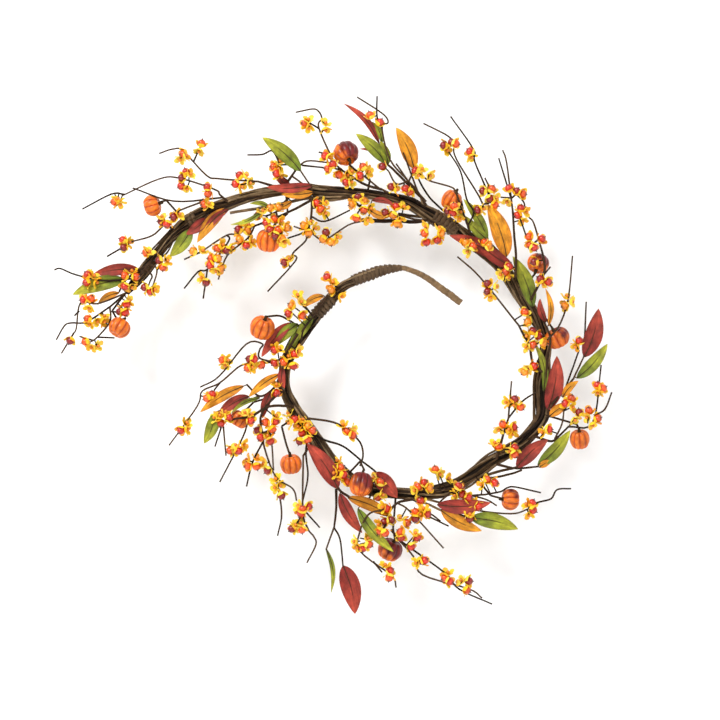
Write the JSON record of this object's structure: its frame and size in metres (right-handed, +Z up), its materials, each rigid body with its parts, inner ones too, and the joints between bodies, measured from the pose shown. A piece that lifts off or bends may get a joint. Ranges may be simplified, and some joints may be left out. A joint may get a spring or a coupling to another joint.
{
  "type": "harvest wreath garland",
  "caption": "Faux harvest garland curled into an open wreath: taped twig vine with mini pumpkins, berry picks and fabric leaves.",
  "frame": {"origin": "where a hook carries the underside of the vine's top run, straight above the centre of mass", "axes": "+X to the right and +Z up as it hangs, -Y out of the front"},
  "size_m": [0.5544, 0.0476, 0.516],
  "materials": {
    "vine_bark": "rough dark brown twigs",
    "bare_stem": "lighter brown paper-wrapped stem",
    "floral_tape": "crinkled brown floral tape",
    "pumpkin_skin": "painted orange and burgundy foam",
    "berry_picks": "glossy lacquered berries on wrapped wire",
    "leaf_fabric": "ribbed satin leaves with a wire midrib"
  },
  "bodies": {
    "garland": {"bare_stem": "bare_stem", "tape_coil": "floral_tape", "vine_inner": "vine_bark", "tape_wrap_inner": "floral_tape", "vine_left": "vine_bark", "vine_bottom": "vine_bark", "vine_right": "vine_bark", "tape_wrap_right": "floral_tape", "vine_top": "vine_bark", "tape_wrap_left": "floral_tape", "vine_tail": "vine_bark", "pumpkin_tail": "pumpkin_skin", "pumpkin_upper_left": "pumpkin_skin", "pumpkin_inner_left": "pumpkin_skin", "pumpkin_top": "pumpkin_skin", "pumpkin_upper_right": "pumpkin_skin", "pumpkin_right_top": "pumpkin_skin", "pumpkin_right": "pumpkin_skin", "pumpkin_right_low": "pumpkin_skin", "pumpkin_lower_right": "pumpkin_skin", "pumpkin_bottom": "pumpkin_skin", "pumpkin_bottom_left": "pumpkin_skin", "pumpkin_low_left": "pumpkin_skin", "pumpkin_left_low": "pumpkin_skin", "pumpkin_left": "pumpkin_skin", "leaves_tail": "leaf_fabric", "leaves_top": "leaf_fabric", "leaves_upper_right": "leaf_fabric", "leaves_right": "leaf_fabric", "leaves_left": "leaf_fabric", "leaves_left_low": "leaf_fabric", "leaves_bottom": "leaf_fabric", "pick_top_left": "berry_picks", "spray_inner_left": "berry_picks", "spray_inner_pumpkin": "berry_picks", "spray_inner_top": "berry_picks", "spray_vine_top": "berry_picks", "spray_upper_right": "berry_picks", "spray_inner_right": "berry_picks", "spray_right_low": "berry_picks", "spray_inner_low": "berry_picks", "spray_left_hanging": "berry_picks"},
    "leaves_upper_left": {"leaves_upper_left": "leaf_fabric"},
    "leaves_lower_right": {"leaves_lower_right": "leaf_fabric"},
    "leaves_hanging": {"leaves_hanging": "leaf_fabric"},
    "pick_bottom_right": {"pick_bottom_right": "berry_picks"},
    "spray_tail": {"spray_tail": "berry_picks"},
    "spray_tail_upper": {"spray_tail_upper": "berry_picks"},
    "spray_upper_left_high": {"spray_upper_left_high": "berry_picks"},
    "spray_upper_left_low": {"spray_upper_left_low": "berry_picks"},
    "spray_top": {"spray_top": "berry_picks"},
    "spray_top_fan": {"spray_top_fan": "berry_picks"},
    "spray_shoulder": {"spray_shoulder": "berry_picks"},
    "spray_right_top": {"spray_right_top": "berry_picks"},
    "spray_lower_trail": {"spray_lower_trail": "berry_picks"},
    "spray_left": {"spray_left": "berry_picks"},
    "spray_left_low": {"spray_left_low": "berry_picks"},
    "spray_bottom": {"spray_bottom": "berry_picks"},
    "spray_left_trail": {"spray_left_trail": "berry_picks"},
    "right_pick": {"right_pick": "berry_picks"}
  },
  "joints": [
    {"name": "leaves_upper_left_bend", "type": "hinge", "parent": "garland", "child": "leaves_upper_left", "pos_m": [-0.144, -0.00885, -0.0087], "axis": [-0.4281, 0, 0.9037], "range_deg": [0, 30]},
    {"name": "leaves_lower_right_bend", "type": "hinge", "parent": "garland", "child": "leaves_lower_right", "pos_m": [0.126, -0.0085, -0.2637], "axis": [-0.1961, 0, -0.9806], "range_deg": [0, 30]},
    {"name": "leaves_hanging_bend", "type": "hinge", "parent": "garland", "child": "leaves_hanging", "pos_m": [-0.034, 0.009, -0.2887], "axis": [-1, 0, 0], "range_deg": [0, 40]},
    {"name": "pick_bottom_right_bend", "type": "hinge", "parent": "garland", "child": "pick_bottom_right", "pos_m": [0.08, -0.00876, -0.2907], "axis": [-0.3846, 0, -0.9231], "range_deg": [0, 30]},
    {"name": "spray_tail_bend", "type": "hinge", "parent": "garland", "child": "spray_tail", "pos_m": [-0.216, -0.01077, -0.0587], "axis": [-0.7809, 0, 0.6247], "range_deg": [0, 30]},
    {"name": "spray_tail_upper_bend", "type": "hinge", "parent": "garland", "child": "spray_tail_upper", "pos_m": [-0.196, -0.00758, -0.0287], "axis": [0.3714, 0, 0.9285], "range_deg": [0, 18]},
    {"name": "spray_upper_left_high_bend", "type": "hinge", "parent": "garland", "child": "spray_upper_left_high", "pos_m": [-0.098, -0.007, 0.0143], "axis": [0.2747, 0, 0.9615], "range_deg": [0, 35]},
    {"name": "spray_upper_left_low_bend", "type": "hinge", "parent": "garland", "child": "spray_upper_left_low", "pos_m": [-0.142, -0.0085, -0.0017], "axis": [0.6585, 0, 0.7526], "range_deg": [0, 30]},
    {"name": "spray_top_bend", "type": "hinge", "parent": "garland", "child": "spray_top", "pos_m": [0.012, -0.0065, 0.0103], "axis": [0.2822, 0, 0.9594], "range_deg": [0, 30]},
    {"name": "spray_top_fan_bend", "type": "hinge", "parent": "garland", "child": "spray_top_fan", "pos_m": [0.056, -0.00913, -0.0057], "axis": [0.8412, 0, 0.5408], "range_deg": [0, 30]},
    {"name": "spray_shoulder_bend", "type": "hinge", "parent": "garland", "child": "spray_shoulder", "pos_m": [0.144, -0.02176, -0.0777], "axis": [0.9991, 0, -0.0434], "range_deg": [0, 30]},
    {"name": "spray_right_top_bend", "type": "hinge", "parent": "garland", "child": "spray_right_top", "pos_m": [0.16, -0.01456, -0.0997], "axis": [0.9091, 0, -0.4167], "range_deg": [0, 25]},
    {"name": "spray_lower_trail_bend", "type": "hinge", "parent": "garland", "child": "spray_lower_trail", "pos_m": [0.021, -0.027, -0.3277], "axis": [-0.8192, 0, -0.5735], "range_deg": [0, 30]},
    {"name": "spray_left_bend", "type": "hinge", "parent": "garland", "child": "spray_left", "pos_m": [-0.072, -0.01854, -0.1337], "axis": [-0.8437, 0, 0.5369], "range_deg": [0, 25]},
    {"name": "spray_left_low_bend", "type": "hinge", "parent": "garland", "child": "spray_left_low", "pos_m": [-0.076, -0.00896, -0.2057], "axis": [0, 0, 1], "range_deg": [0, 30]},
    {"name": "spray_bottom_bend", "type": "hinge", "parent": "garland", "child": "spray_bottom", "pos_m": [0.042, -0.00869, -0.2987], "axis": [-0.2095, 0, 0.9778], "range_deg": [0, 12]},
    {"name": "spray_left_trail_bend", "type": "hinge", "parent": "garland", "child": "spray_left_trail", "pos_m": [-0.059, -0.0085, -0.2437], "axis": [-0.8321, 0, 0.5547], "range_deg": [0, 15]},
    {"name": "right_pick_bend", "type": "hinge", "parent": "garland", "child": "right_pick", "pos_m": [0.181, -0.01335, -0.2037], "axis": [0.7526, 0, -0.6585], "range_deg": [0, 6]}
  ]
}
